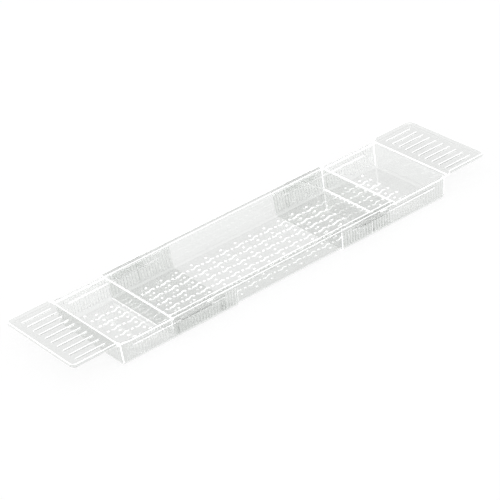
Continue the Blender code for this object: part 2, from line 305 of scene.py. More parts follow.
def painted_highlight_styrene(name):
    """The same plastic, painted white with a small glow as a painted highlight, and a fine bump
    grain.
    """
    material = bpy.data.materials.new(name)
    material.use_nodes = True
    tree = material.node_tree
    tree.nodes.clear()
    place = add_node(tree, "ShaderNodeTexCoord")
    grain = add_node(tree, "ShaderNodeTexNoise", {
        "Vector": place.outputs["Object"],
        "Scale": 1 / EDGE_GRAIN,
        "Detail": EDGE_GRAIN_DETAIL,
    })
    bump = add_node(tree, "ShaderNodeBump", {
        "Height": grain.outputs["Fac"],
        "Distance": FLOW_DEPTH,
    })
    plastic = add_node(tree, "ShaderNodeBsdfPrincipled", {
        "Base Color": from_hex("#FFFFFF"),
        "Roughness": EDGE_ROUGHNESS,
        "IOR": STYRENE_IOR,
        "Transmission Weight": EDGE_CLEARNESS,
        "Emission Color": from_hex("#FFFFFF"),
        "Emission Strength": PAINTED_GLOW,
        "Normal": bump.outputs["Normal"],
    })
    add_node(tree, "ShaderNodeOutputMaterial", {"Surface": plastic.outputs["BSDF"]})
    return material


# The painted highlight, white and glowing, for edges, folds, corners and holes.
highlight_plastic = painted_highlight_styrene("clear polystyrene, painted edge highlight")
finishes = [tray_plastic, highlight_plastic]
PAINTED_HIGHLIGHT = finishes.index(highlight_plastic)
print("finishes", [finish.name for finish in finishes])

# %% [markdown]
# ## Sizes
#
# The frame gives where each tray is and how far it reaches. The other sizes are those of the
# moulding itself: its wall, the lean that lets it leave the mould, its rounded edges.

# %% Sizes of the mouldings
WALL = 1.6 * MM
LEAN = 0.07
SLIDE_GAP = 0.4 * MM
TINY = 0.01 * MM

centre_low, centre_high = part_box("centre_tray")
left_low, left_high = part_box("left_end_tray")
right_low, right_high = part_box("right_end_tray")
flange_underside = centre_high.z - WALL
rim_top = flange_underside - SLIDE_GAP
print("centre tray", round((centre_high.x - centre_low.x) / MM, 1), "mm long")

# %% [markdown]
# ## Shaping a moulding
#
# A moulded tray is a sheet of even thickness. So each tray starts as the sheet that makes its
# upper side: a box with leaning walls and no lid, whose rim is drawn outward. Its floor edges
# and corners are rounded with Bevel while it is still a thin sheet, which is simpler than
# rounding the inside and the outside of a finished wall one after the other.

# %% Helpers that draw and round a sheet
FILLET_STEPS = 6


def leaning_box(low, high, lean_low, lean_high, lean_side):
    """A box whose walls come in towards its floor, with a lean for each end and for the sides."""
    shape = bmesh.new()
    bmesh.ops.create_cube(shape, size=1.0)
    depth = high.z - low.z
    for vert in shape.verts:
        drop = depth if vert.co.z < 0 else 0.0
        x = low.x + lean_low * drop if vert.co.x < 0 else high.x - lean_high * drop
        y = low.y + lean_side * drop if vert.co.y < 0 else high.y - lean_side * drop
        vert.co = Vector((x, y, low.z if vert.co.z < 0 else high.z))
    return shape


def face_towards(shape, way):
    """The face of a box whose middle lies furthest in a direction."""
    return max(shape.faces, key=lambda face: face.calc_center_median().dot(Vector(way)))


def edges_where(shape, is_wanted):
    """The edges whose two ends both pass a test."""
    return [edge for edge in shape.edges if all(is_wanted(vert.co) for vert in edge.verts)]


def rise_of(edge):
    """How far an edge climbs."""
    return abs(edge.verts[0].co.z - edge.verts[1].co.z)


def draw_out(shape, edges, move):
    """Extrude some edges and move each new corner."""
    new = bmesh.ops.extrude_edge_only(shape, edges=edges)["geom"]
    for item in new:
        if isinstance(item, bmesh.types.BMVert):
            move(item.co)


def round_off(shape, edges, radius, steps=FILLET_STEPS):
    """Round some edges to a radius."""
    bmesh.ops.bevel(
        shape, geom=edges, offset=radius, offset_type="OFFSET", segments=steps, profile=0.5,
        affect="EDGES", clamp_overlap=True,
    )


def split_at(shape, place, across=(1, 0, 0)):
    """Cut new edges into a shape along the plane that crosses an axis at a place."""
    everything = shape.verts[:] + shape.edges[:] + shape.faces[:]
    bmesh.ops.bisect_plane(
        shape, geom=everything, plane_co=Vector(across) * place, plane_no=across,
    )


def face_up(shape):
    """Turn a sheet so that its lowest face looks up."""
    bmesh.ops.recalc_face_normals(shape, faces=shape.faces)
    lowest = min(shape.faces, key=lambda face: face.calc_center_median().z)
    if lowest.normal.z < 0:
        bmesh.ops.reverse_faces(shape, faces=shape.faces)


# %% [markdown]
# ### Which faces get the painted highlight
#
# The painted highlight goes on narrow strips: folds, corners, and the foot of an end wall. Each
# strip is found by where its faces are and how they slant, so it follows the shape when a size
# changes. A slant is how far a face's normal points along X, Y and Z, from 0 to 1. Its z is
# near 1 on a level face and near 0 on a wall.

# %% Helpers that mark the strips of painted highlight
LEVEL_SLANT = 0.9
STEEP_SLANT = 0.5
WALL_SLANT = 0.3
FOLD_SLANT = 0.15
HALF_FOLD_SLANT = 0.6
CORNER_SLANT = 0.5
END_SLANT = 0.4
LIP_DROP = 3.0 * MM
ROLL_OVER = 2.2 * MM
ROLL_STEPS = 4


def mark_painted_highlight(shape, is_wanted):
    """Give the painted highlight finish to the faces whose middle and slant pass a test."""
    shape.normal_update()
    for face in shape.faces:
        slant = Vector(abs(value) for value in face.normal)
        if is_wanted(face.calc_center_median(), slant):
            face.material_index = PAINTED_HIGHLIGHT


def is_upright_corner(_middle, slant):
    """True on one strip along each upright corner."""
    return slant.z < WALL_SLANT and slant.y > slant.x > CORNER_SLANT


def is_foot(_middle, slant):
    """True on a strip along the foot of each end wall."""
    return FOLD_SLANT < slant.z < STEEP_SLANT and slant.y < END_SLANT


def is_highlight_fold(middle, slant):
    """True on the lower half of the fold along each long side."""
    is_high = middle.z > rim_top - ROLL_OVER
    return is_high and FOLD_SLANT < slant.z < HALF_FOLD_SLANT and slant.y > slant.x


def is_fold(edge):
    """True for an edge where a wall folds over into the rim."""
    lowest = min(vert.co.z for vert in edge.verts)
    if len(edge.link_faces) != 2 or lowest < rim_top - TINY:
        return False
    wall, rim = sorted(edge.link_faces, key=lambda face: abs(face.normal.z))
    is_tall = wall.calc_center_median().z < rim_top - LIP_DROP
    return abs(wall.normal.z) < STEEP_SLANT < abs(rim.normal.z) and is_tall


def roll_rim(shape):
    """Round the folds of a rim, and paint the highlight on them and on the upright corners."""
    shape.normal_update()
    round_off(shape, [edge for edge in shape.edges if is_fold(edge)], ROLL_OVER, ROLL_STEPS)
    mark_painted_highlight(shape, is_upright_corner)
    mark_painted_highlight(shape, is_highlight_fold)


# %% [markdown]
# ### From sheet to wall
#
# Solidify gives the sheet its wall, on the side away from the inside of the tray, and Bevel
# rounds the sharp edges that this leaves. Each piece is then a plain mesh at the origin, with no
# modifier left.

# %% Helpers that turn a sheet into a piece
EDGE_ROUND = 0.75 * MM
EDGE_STEPS = 3
SHARP_ANGLE = math.radians(50)
SMOOTH_ANGLE = math.radians(34)
FACE_FINISH = -1


def as_object(name, shape):
    """Turn a bmesh into an object at the origin with every finish of the plastic."""
    mesh = bpy.data.meshes.new(name)
    shape.to_mesh(mesh)
    shape.free()
    for finish in finishes:
        mesh.materials.append(finish)
    made = bpy.data.objects.new(name, mesh)
    bpy.context.scene.collection.objects.link(made)
    return made


def bake_down(piece):
    """Replace a piece's mesh by what its modifiers make of it, and remove them."""
    depsgraph = bpy.context.evaluated_depsgraph_get()
    piece.data = bpy.data.meshes.new_from_object(piece.evaluated_get(depsgraph))
    piece.modifiers.clear()
    return piece


def thicken(piece, has_highlight_edges):
    """Give a sheet its wall, behind the side that faces up, and round its sharp edges, with a
    painted highlight on them if asked.
    """
    wall = piece.modifiers.new("wall", "SOLIDIFY")
    wall.thickness = WALL
    wall.offset = -1.0
    wall.use_even_offset = True
    # When asked, the cut edges and their rounding get the painted highlight.
    wall.material_offset_rim = PAINTED_HIGHLIGHT if has_highlight_edges else 0
    edges = piece.modifiers.new("edges", "BEVEL")
    edges.material = PAINTED_HIGHLIGHT if has_highlight_edges else FACE_FINISH
    edges.width = EDGE_ROUND
    edges.segments = EDGE_STEPS
    edges.limit_method = "ANGLE"
    edges.angle_limit = SHARP_ANGLE
    return bake_down(piece)


def smooth_finish(piece):
    """Shade round stretches smooth and keep flat faces flat."""
    piece.data.shade_smooth()
    piece.data.set_sharp_from_angle(angle=SMOOTH_ANGLE)
    weights = piece.modifiers.new("weights", "WEIGHTED_NORMAL")
    weights.keep_sharp = True
    bake_down(piece)
    names = [slot.material.name for slot in piece.material_slots]
    print(piece.name, "finishes", names)


# %% [markdown]
# ## What repeats
#
# Drain holes, ribs and bars repeat at a steady spacing. One Geometry Nodes tree lays copies of
# a small shape on a grid of points, makes them real, and cuts them from the tray or joins them
# to it. Each use sets the tree's own inputs: how many, how far apart, and where the middle is.
# The cut faces of a hole come from the small shape, so the tree notes which of them carry the
# painted highlight before the Boolean and paints it on them after it.

# %% Build the grid tree
GRID_INPUTS = (
    ("Geometry", "NodeSocketGeometry"),
    ("Shape", "NodeSocketObject"),
    ("Columns", "NodeSocketInt"),
    ("Rows", "NodeSocketInt"),
    ("Column Spacing", "NodeSocketFloat"),
    ("Row Spacing", "NodeSocketFloat"),
    ("Middle", "NodeSocketVector"),
    ("Highlight Finish", "NodeSocketMaterial"),
)


def grid_tree(name, operation):
    """A tree that cuts a grid of shapes from a mesh, or joins it on."""
    tree = bpy.data.node_groups.new(name, "GeometryNodeTree")
    for label, kind in GRID_INPUTS:
        tree.interface.new_socket(name=label, in_out="INPUT", socket_type=kind)
    tree.interface.new_socket(
        name="Geometry", in_out="OUTPUT", socket_type="NodeSocketGeometry",
    )
    given = add_node(tree, "NodeGroupInput").outputs
    spans = []
    for count, spacing in (("Columns", "Column Spacing"), ("Rows", "Row Spacing")):
        gaps = add_node(tree, "ShaderNodeMath", {0: given[count], 1: 1.0}, operation="SUBTRACT")
        span = add_node(tree, "ShaderNodeMath", {
            0: gaps.outputs[0],
            1: given[spacing],
        }, operation="MULTIPLY")
        spans.append(span.outputs[0])
    grid = add_node(tree, "GeometryNodeMeshGrid", {
        "Size X": spans[0],
        "Size Y": spans[1],
        "Vertices X": given["Columns"],
        "Vertices Y": given["Rows"],
    })
    placed = add_node(tree, "GeometryNodeTransform", {
        "Geometry": grid.outputs["Mesh"],
        "Translation": given["Middle"],
    })
    shape = add_node(tree, "GeometryNodeObjectInfo", {"Object": given["Shape"]})
    copies = add_node(tree, "GeometryNodeInstanceOnPoints", {
        "Points": placed.outputs["Geometry"],
        "Instance": shape.outputs["Geometry"],
    })
    real = add_node(tree, "GeometryNodeRealizeInstances", {
        "Geometry": copies.outputs["Instances"],
    })
    # The faces of the small shape with the painted highlight are noted before the cut, and
    # painted after it.
    index = add_node(tree, "GeometryNodeInputMaterialIndex")
    is_highlighted = add_node(tree, "FunctionNodeCompare", {
        "A": index.outputs[0],
    }, data_type="INT", operation="GREATER_THAN")
    marked = add_node(tree, "GeometryNodeCaptureAttribute", {
        "Geometry": real.outputs["Geometry"],
    }, domain="FACE")
    marked.capture_items.new("BOOLEAN", "pale")
    tree.links.new(is_highlighted.outputs["Result"], marked.inputs["pale"])
    joined = add_node(tree, "GeometryNodeMeshBoolean", operation=operation, solver="EXACT")
    first_input = "Mesh 1" if operation == "DIFFERENCE" else "Mesh 2"
    tree.links.new(given["Geometry"], joined.inputs[first_input])
    tree.links.new(marked.outputs["Geometry"], joined.inputs["Mesh 2"])
    settled = add_node(tree, "GeometryNodeRealizeInstances", {
        "Geometry": joined.outputs["Mesh"],
    })
    painted = add_node(tree, "GeometryNodeSetMaterial", {
        "Geometry": settled.outputs["Geometry"],
        "Selection": marked.outputs["pale"],
        "Material": given["Highlight Finish"],
    })
    add_node(tree, "NodeGroupOutput", {"Geometry": painted.outputs["Geometry"]})
    return tree


cut_grid = grid_tree("cut a grid of shapes", "DIFFERENCE")
join_grid = grid_tree("join a grid of shapes", "UNION")
print("trees", cut_grid.name, "and", join_grid.name)


# %% Helper that runs a grid tree
def apply_grid(piece, tree, shape, columns, rows, spacing, middle):
    """Run the tree once on a piece, with a small shape laid on a grid."""
    grid = piece.modifiers.new(tree.name, "NODES")
    grid.node_group = tree
    values = {
        "Shape": shape,
        "Columns": columns,
        "Rows": rows,
        "Column Spacing": spacing[0],
        "Row Spacing": spacing[1],
        "Middle": tuple(middle),
        "Highlight Finish": highlight_plastic,
    }
    for item in tree.interface.items_tree:
        if item.in_out == "INPUT" and item.name in values:
            grid[item.identifier] = values[item.name]
    before = len(piece.data.polygons)
    bake_down(piece)
    after = len(piece.data.polygons)
    print(piece.name, tree.name, columns, "x", rows, "faces", before, "to", after)


# %% [markdown]
# A Boolean modifier does the one-off cuts and joins, such as the slots and the clips.

# %% Helper for single cuts and joins
def apply_boolean(piece, tool, operation):
    """Cut a tool from a piece or join it on, and remove the tool."""
    cut = piece.modifiers.new("cut", "BOOLEAN")
    cut.operation = operation
    cut.solver = "EXACT"
    cut.object = tool
    bake_down(piece)
    bpy.data.objects.remove(tool)


# %% [markdown]
# ## Centre tray
#
# A plain tub with a wide flange turned out along both long sides, whose outer edge turns down
# in a short lip. The ends have only a narrow rim. The tub comes first, as a box without a lid.
# Its upright and floor edges are noted now, while they are easy to tell apart, and are rounded
# after the rim is drawn out.

# %% Start the centre tray as a tub
FLANGE_WIDTH = 10.3 * MM
END_RIM_WIDTH = 2.6 * MM

centre_middle = (centre_low.x + centre_high.x) / 2
centre_half = (centre_high.x - centre_low.x) / 2
centre_inner_end = centre_half - END_RIM_WIDTH
centre_inner_side = centre_high.y - FLANGE_WIDTH
centre_floor = centre_low.z + WALL

sheet = leaning_box(
    Vector((centre_middle - centre_inner_end, -centre_inner_side, centre_floor)),
    Vector((centre_middle + centre_inner_end, centre_inner_side, centre_high.z)),
    LEAN, LEAN, LEAN,
)
bmesh.ops.delete(sheet, geom=[face_towards(sheet, (0, 0, 1))], context="FACES")
uprights = [edge for edge in sheet.edges if rise_of(edge) > WALL]
floor_edges = edges_where(sheet, lambda co: co.z < centre_floor + TINY)
print("centre tub", round(2 * centre_inner_end / MM, 1), "mm long inside its rim")

# %% [markdown]
# The flange is drawn out in steps: over the fold, to a narrow strip along its edge, to the edge
# itself, and down the lip. The fold and the strip are faces of their own because they carry a
# painted highlight.

# %% Draw out the flange and its lip
FOLD_WIDTH = 1.6 * MM
STRIP_WIDTH = 1.0 * MM


def to_fold(co):
    """Out to the full length, and just over the fold of the long walls."""
    co.x = centre_high.x if co.x > centre_middle else centre_low.x
    co.y = math.copysign(centre_inner_side + FOLD_WIDTH, co.y)


def to_outer_strip(co):
    """Out to the strip along the flange's edge."""
    co.y = math.copysign(centre_high.y - STRIP_WIDTH, co.y)


def to_lip(co):
    """Out to the flange's edge."""
    co.y = math.copysign(centre_high.y, co.y)


def down_the_lip(co):
    """Down to the foot of the lip."""
    co.z -= LIP_DROP


draw_out(sheet, edges_where(sheet, lambda co: co.z > centre_high.z - TINY), to_fold)
for move in (to_outer_strip, to_lip, down_the_lip):
    widest = max(vert.co.y for vert in sheet.verts)
    sides = [
        edge
        for edge in edges_where(sheet, lambda co: abs(co.y) > widest - TINY)
        if abs(edge.verts[0].co.x - edge.verts[1].co.x) > WALL
    ]
    draw_out(sheet, sides, move)
print("centre sheet faces", len(sheet.faces))

# %% [markdown]
# Last come the rounded corners and the strips of painted highlight. The end rims get it too, on a
# strip as wide as the flange's. The cut edges of this tray's wall stay clear: only the strips get
# it.

# %% Round the centre tray and give it its wall
CENTRE_FILLET = 4.0 * MM


def is_highlight_rim(middle, slant):
    """True on the end rims, and on a strip beside each long edge of the flanges."""
    on_end = abs(middle.x - centre_middle) > centre_half - STRIP_WIDTH
    on_fold = centre_inner_side < abs(middle.y) < centre_inner_side + FOLD_WIDTH
    on_outer_strip = abs(middle.y) > centre_high.y - STRIP_WIDTH
    return on_end or slant.z > LEVEL_SLANT and (on_fold or on_outer_strip)


round_off(sheet, uprights + floor_edges, CENTRE_FILLET)
for end in (-1, 1):
    split_at(sheet, centre_middle + end * (centre_half - STRIP_WIDTH))
# Paint the highlight on the rims, the upright corners and the feet of the walls.
mark_painted_highlight(sheet, is_highlight_rim)
mark_painted_highlight(sheet, is_upright_corner)
mark_painted_highlight(sheet, is_foot)
face_up(sheet)
centre_tray = thicken(as_object("centre_tray_moulding", sheet), has_highlight_edges=False)
print("centre tray faces", len(centre_tray.data.polygons))

# %% [markdown]
# ### Clips
#
# Four tongues hang from the flanges, one near each end of both sides. Each leans in and ends in
# a small hook that runs in the end tray's slot. A tongue is the same all along its length, so it
# is a flat outline in Y and Z drawn out along X, and not a box that is cut and bent.

# %% Outline of a clip
HOOK_DEPTH = 1.2 * MM
HOOK_HEIGHT = 1.8 * MM
REED_HEIGHT = 0.6 * MM
SIDE_GAP = 0.45 * MM
SLOT_DROP = 11.3 * MM
EMBED = 0.4 * MM

slot_height = rim_top - SLOT_DROP
end_inner_side = centre_inner_side - LEAN * (centre_high.z - rim_top) + WALL + SIDE_GAP
print("slots", round(slot_height / MM, 1), "mm above the floor")


def outer_face(height):
    """How far out the long wall of an end tray stands at a height."""
    return end_inner_side - LEAN * (rim_top - height) + WALL


def clip_outline():
    """The corners of a clip, from the top of its flange down to the hook and back."""
    hook_top = slot_height + HOOK_HEIGHT / 2
    hook_foot = slot_height - HOOK_HEIGHT / 2
    hook_tip = outer_face(slot_height) - HOOK_DEPTH
    tongue_inner = outer_face(slot_height) + REED_HEIGHT + SIDE_GAP
    flange_outer = centre_high.y - EMBED
    flange_inner = centre_high.y - WALL
    return [
        (flange_outer, flange_underside + WALL / 2),
        (flange_inner, flange_underside + WALL / 2),
        (flange_inner, flange_underside - EMBED),
        (tongue_inner, hook_top),
        (hook_tip, hook_top),
        (hook_tip, hook_foot),
        (tongue_inner + WALL - EMBED, hook_foot),
        (flange_outer, flange_underside - EMBED),
    ]


# %% Hang the clips
CLIP_LENGTH = 53.5 * MM
CLIP_INSET = 18.0 * MM


def drawn_along_x(outline, length):
    """A solid whose section in Y and Z is the outline."""
    shape = bmesh.new()
    ring = [shape.verts.new((-length / 2, y, z)) for y, z in outline]
    cap = shape.faces.new(ring)
    far = bmesh.ops.extrude_face_region(shape, geom=[cap])["geom"]
    corners = [item for item in far if isinstance(item, bmesh.types.BMVert)]
    bmesh.ops.translate(shape, verts=corners, vec=(length, 0, 0))
    bmesh.ops.recalc_face_normals(shape, faces=shape.faces)
    return shape


clip_middle = centre_half - CLIP_INSET - CLIP_LENGTH / 2
for end in (-1, 1):
    for side in (-1, 1):
        clip = drawn_along_x(clip_outline(), CLIP_LENGTH)
        bmesh.ops.scale(clip, verts=clip.verts, vec=(1, side, 1))
        along = centre_middle + end * clip_middle
        bmesh.ops.translate(clip, verts=clip.verts, vec=(along, 0, 0))
        bmesh.ops.recalc_face_normals(clip, faces=clip.faces)
        apply_boolean(centre_tray, as_object("clip", clip), "UNION")
print("centre tray with clips", len(centre_tray.data.polygons))

# %% [markdown]
# ### Drain holes
#
# All three floors let water through small round holes. Each hole widens a little at its top, and
# its side gets a painted highlight. The cutter is built ring on ring from an outline, so the same
# function serves a round hole and the longer slots, which a cone would not. Every side face of
# the cutter carries the painted highlight, and so does what it cuts.

# %% Make the cutter of a round hole
HOLE_DIAMETER = 3.4 * MM
HOLE_SIDES = 20
CHAMFER = 0.2 * MM
CUT_DEPTH = 1.5 * WALL


def countersunk(outline_at):
    """A cutter with a straight body and a top that widens, which leaves a hole with a painted
    highlight.
    """
    straight_top = WALL / 2 - CHAMFER
    wide_top = WALL / 2 + CHAMFER
    shape = bmesh.new()
    rings = []
    for grow, level in ((0.0, -CUT_DEPTH), (0.0, straight_top), (2 * CHAMFER, wide_top)):
        rings.append([shape.verts.new((x, y, level)) for x, y in outline_at(grow)])
    for lower, upper in zip(rings, rings[1:]):
        for place in range(len(lower)):
            after = (place + 1) % len(lower)
            face = shape.faces.new((lower[place], lower[after], upper[after], upper[place]))
            # Each side face of the cutter carries the painted highlight.
            face.material_index = PAINTED_HIGHLIGHT
    for ring in (rings[0], rings[-1]):
        shape.faces.new(ring)
    bmesh.ops.recalc_face_normals(shape, faces=shape.faces)
    return shape


def round_outline(grow):
    """A circle, larger by a growth in its radius."""
    radius = HOLE_DIAMETER / 2 + grow
    turns = [2 * math.pi * step / HOLE_SIDES for step in range(HOLE_SIDES)]
    return [(radius * math.cos(turn), radius * math.sin(turn)) for turn in turns]


pin = as_object("drain_pin", countersunk(round_outline))
print("hole cutter faces", len(pin.data.polygons))

# %% [markdown]
# Between the holes lie short slots, each shaped like nearly one wave. A slot's outline follows
# the wave's middle line at half the slot's width: out along one side, round the end, back along
# the other side, and round the first end again. At each step it goes square to the line.

# %% Make the cutter of a wave slot
WAVE_LENGTH = 15.0 * MM
WAVE_PITCH = 16.0 * MM
WAVE_RISE = 1.9 * MM
WAVE_WIDTH = 1.1 * MM
WAVE_STEPS = 12
WAVE_END_STEPS = 3


def end_shares(step):
    """How far round a slot's end the outline turns at a step, in quarter turns."""
    turns = [end_step / WAVE_END_STEPS for end_step in range(WAVE_END_STEPS)]
    if step == 0:
        return [-1 + turn for turn in turns] + [0.0]
    return turns if step == WAVE_STEPS else [0.0]


def wave_outline(grow):
    """A slot that follows one wave, with round ends."""
    half = WAVE_WIDTH / 2 + grow
    points = []
    for side in (1, -1):
        for step in range(WAVE_STEPS + 1):
            x = side * WAVE_LENGTH * (0.5 - step / WAVE_STEPS)
            turn = 2 * math.pi * x / WAVE_PITCH
            heading = math.atan(WAVE_RISE * math.cos(turn) * 2 * math.pi / WAVE_PITCH)
            middle = Vector((x, WAVE_RISE * math.sin(turn)))
            outward = heading + side * math.pi / 2
            for share in end_shares(step):
                angle = outward + share * math.pi / 2
                reach = (half * math.cos(angle), half * math.sin(angle))
                points.append((middle.x + reach[0], middle.y + reach[1]))
    return points


wave = as_object("wave_slot", countersunk(wave_outline))
print("slot cutter faces", len(wave.data.polygons))

# %% [markdown]
# The holes stand in two grids, the second one shifted by half a spacing both ways. The slots
# share the columns of the first grid and the rows of the second, so no slot meets a hole.

# %% Drill the centre tray
MOTIF_LENGTH = 27.6 * MM
MOTIF_WIDTH = 20.5 * MM
CENTRE_COLUMNS = 12
ROWS = 7

motif = (MOTIF_LENGTH, MOTIF_WIDTH)
floor_middle = Vector((centre_middle, 0, centre_floor - WALL / 2))
for cutter, columns, rows in (
    (pin, CENTRE_COLUMNS, ROWS),
    (pin, CENTRE_COLUMNS + 1, ROWS - 1),
    (wave, CENTRE_COLUMNS, ROWS - 1),
):
    apply_grid(centre_tray, cut_grid, cutter, columns, rows, motif, floor_middle)
smooth_finish(centre_tray)
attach(centre_tray, "centre_tray")
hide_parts("centre_tray")

# %% [markdown]
# ## End trays
#
# Each end tray is a tub open at its inner end, with a narrow rim. Its end wall rolls over in a
# larger curve into the ledge, a flat panel with a border turned up on three sides. Both end
# trays are the same moulding, modelled here from its open end at X = 0.

# %% Sizes of an end tray
END_FILLET = 5.0 * MM
RIM_WIDTH = 4.9 * MM
RIM_RUN = 15.0 * MM
LEDGE_LENGTH = 79.7 * MM
LEDGE_RISE = 1.2 * MM

end_floor = WALL
tray_length = right_high.x - right_low.x - LEDGE_LENGTH
rim_side = right_high.y
rim_end = tray_length + RIM_WIDTH / 2
ledge_top = rim_top + LEDGE_RISE
border_top = right_high.z
print("end tray", round(tray_length / MM, 1), "mm from its open end to its end wall")

# %% [markdown]
# The tub is made like the centre tray's, but without a wall at its open end. The ledge stands a
# little higher than the long rims. So near the end wall the rim is split twice and its corners
# are raised, which makes a short ramp that a straight extrusion could not give.

# %% Shape the tub of an end tray
def runs_across(edge, place):
    """True for an edge that lies in the plane X = place."""
    return all(abs(vert.co.x - place) < TINY for vert in edge.verts)


def to_rim_edge(co):
    """Out to the edge of the rim."""
    co.y = math.copysign(rim_side, co.y)
    if co.x > tray_length - TINY:
        co.x += RIM_WIDTH / 2


def end_tub():
    """The upper side of the tub with its rim, open at X = 0. The rim rises to the ledge."""
    shape = leaning_box(
        Vector((0, -end_inner_side, end_floor)),
        Vector((tray_length, end_inner_side, rim_top)),
        0.0, LEAN, LEAN,
    )
    lid, mouth = face_towards(shape, (0, 0, 1)), face_towards(shape, (-1, 0, 0))
    bmesh.ops.delete(shape, geom=[lid, mouth], context="FACES")
    corners = [
        edge for edge in shape.edges if rise_of(edge) > WALL and not runs_across(edge, 0)
    ]
    floor_rim = edges_where(shape, lambda co: co.z < end_floor + TINY)
    rounded = corners + [edge for edge in floor_rim if not runs_across(edge, 0)]
    rim = edges_where(shape, lambda co: co.z > rim_top - TINY)
    draw_out(shape, rim, to_rim_edge)
    round_off(shape, rounded, END_FILLET)
    roll_rim(shape)
    for place in (RIM_RUN, RIM_RUN / 2):
        split_at(shape, tray_length - place)
    for vert in shape.verts:
        along = (vert.co.x - tray_length + RIM_RUN) / (RIM_RUN / 2)
        upward = (vert.co.z - rim_top + ROLL_OVER) / ROLL_OVER
        vert.co.z += LEDGE_RISE * min(max(along, 0.0), 1.0) * min(max(upward, 0.0), 1.0)
    return shape


# %% [markdown]
# The ledge is the end rim drawn out twice more, first over a short neck where it narrows, then
# to its far end. Its three outer edges are drawn up into the border, and the border's foot and
# its two corners are rounded.

# %% Shape the ledge
NECK = 4.0 * MM
LEDGE_CORNER = 6.4 * MM
LEDGE_FILLET = 1.8 * MM
LEDGE_FILLET_STEPS = 3

neck_end = rim_end + NECK
ledge_end = tray_length + LEDGE_LENGTH - WALL
print("ledge", round((ledge_end - neck_end) / MM, 1), "mm beyond its neck")


def to_neck(co):
    """Out and in to the end of the neck."""
    co.x = neck_end
    co.y = math.copysign(rim_side - WALL, co.y)


def to_ledge_end(co):
    """Out to the inner side of the far border."""
    co.x = ledge_end


def up_the_border(co):
    """Up to the top of the border."""
    co.z = border_top


def add_ledge(shape):
    """Draw the end rim out into the ledge, and turn its border up."""
    draw_out(shape, [edge for edge in shape.edges if runs_across(edge, rim_end)], to_neck)
    draw_out(shape, [edge for edge in shape.edges if runs_across(edge, neck_end)], to_ledge_end)
    panel = edges_where(shape, lambda co: co.x > neck_end - TINY)
    draw_out(shape, [edge for edge in panel if not runs_across(edge, neck_end)], up_the_border)
    corners = [
        edge for edge in shape.edges if rise_of(edge) > WALL and runs_across(edge, ledge_end)
    ]
    round_off(shape, corners, LEDGE_CORNER)
    feet = edges_where(
        shape, lambda co: co.x > neck_end - TINY and abs(co.z - ledge_top) < TINY,
    )
    feet = [edge for edge in feet if not runs_across(edge, neck_end)]
    round_off(shape, feet, LEDGE_FILLET, LEDGE_FILLET_STEPS)


def is_end_strip(middle, slant):
    """True along the top of the end wall, between its fold and the ledge."""
    is_top = slant.z > LEVEL_SLANT and middle.z > rim_top
    return is_top and 0 < middle.x - tray_length < ROLL_OVER + STRIP_WIDTH


def end_sheet():
    """The whole upper side of an end tray, with its strips of painted highlight marked."""
    shape = end_tub()
    add_ledge(shape)
    split_at(shape, tray_length + ROLL_OVER + STRIP_WIDTH)
    # Paint the highlight on the strip along the top of the end wall.
    mark_painted_highlight(shape, is_end_strip)
    face_up(shape)
    return shape


# %% [markdown]
# ### Ribs
#
# Fine upright ribs, or reeds, stiffen the long walls and give them their grey stripes. Each one
# is an oval rod that leans with the wall and is joined to it. The same rod, moved half a pitch
# and out, cuts a shallow groove between each two, so that the wall bends light all along.

# %% Ribs of an end tray
REED_PITCH = 5.14 * MM
REED_WIDTH = 2.5 * MM
REED_DEPTH = 1.8 * MM
REED_MARGIN = 3.0 * MM
REED_SIDES = 12
GROOVE_DEPTH = 0.5 * MM

reed_foot = end_floor + END_FILLET
reed_top = rim_top - WALL / 2
reed_count = int((tray_length - END_FILLET - 2 * REED_MARGIN) / REED_PITCH) + 1
print("ribs on each long wall", reed_count)


def reed_shape():
    """One upright rib: a thin upright rod, oval in section, as tall as the straight wall."""
    shape = bmesh.new()
    bmesh.ops.create_cone(
        shape, cap_ends=True, segments=REED_SIDES,
        radius1=REED_WIDTH / 2, radius2=REED_WIDTH / 2, depth=reed_top - reed_foot,
    )
    bmesh.ops.scale(shape, verts=shape.verts, vec=(1.0, REED_DEPTH / REED_WIDTH, 1.0))
    return shape


def add_ribs(tray):
    """Join the ribs to the outside of both long walls, and cut the grooves between them."""
    wall_middle = (reed_top + reed_foot) / 2
    for wall_side in (-1, 1):
        reed = reed_shape()
        lean = Matrix.Rotation(-wall_side * math.atan(LEAN), 4, "X")
        bmesh.ops.transform(reed, matrix=lean, verts=reed.verts)
        reed = as_object("reed", reed)
        y = wall_side * (outer_face(wall_middle) + REED_HEIGHT - REED_DEPTH / 2)
        x = REED_MARGIN + REED_PITCH * (reed_count - 1) / 2
        middle = (x, y, wall_middle)
        apply_grid(tray, join_grid, reed, reed_count, 1, (REED_PITCH, 0), middle)
        y = wall_side * (outer_face(wall_middle) - GROOVE_DEPTH + REED_DEPTH / 2)
        middle = (x + REED_PITCH / 2, y, wall_middle)
        apply_grid(tray, cut_grid, reed, reed_count, 1, (REED_PITCH, 0), middle)
        bpy.data.objects.remove(reed)


# %% [markdown]
# ### Slots and bars
#
# One slot runs along each long wall, and a single bar with round ends that passes through both
# walls cuts the two at once. The lower side of a slot has a painted highlight, for the light from
# above. The ledge carries ten raised bars with round ends that keep what lies there out of the
# wet. Each has a thin painted highlight along its crest, as such a bar looks in clear plastic.

# %% Slots and bars of an end tray
SLOT_LENGTH = 163.3 * MM
SLOT_WIDTH = 3.0 * MM
SLOT_INSET = 20.0 * MM
BAR_PITCH = 15.25 * MM
BAR_WIDTH = 4.0 * MM
BAR_HEIGHT = 1.2 * MM
BAR_HIGHLIGHT_WIDTH = 1.2 * MM
BAR_COUNT = 10
BAR_INNER_INSET = 13.8 * MM
BAR_OUTER_INSET = 15.9 * MM
ROUND_END_STEPS = 5
ROUND_END_SHARE = 0.499  # just under half, so that the two fillets of an end don't meet


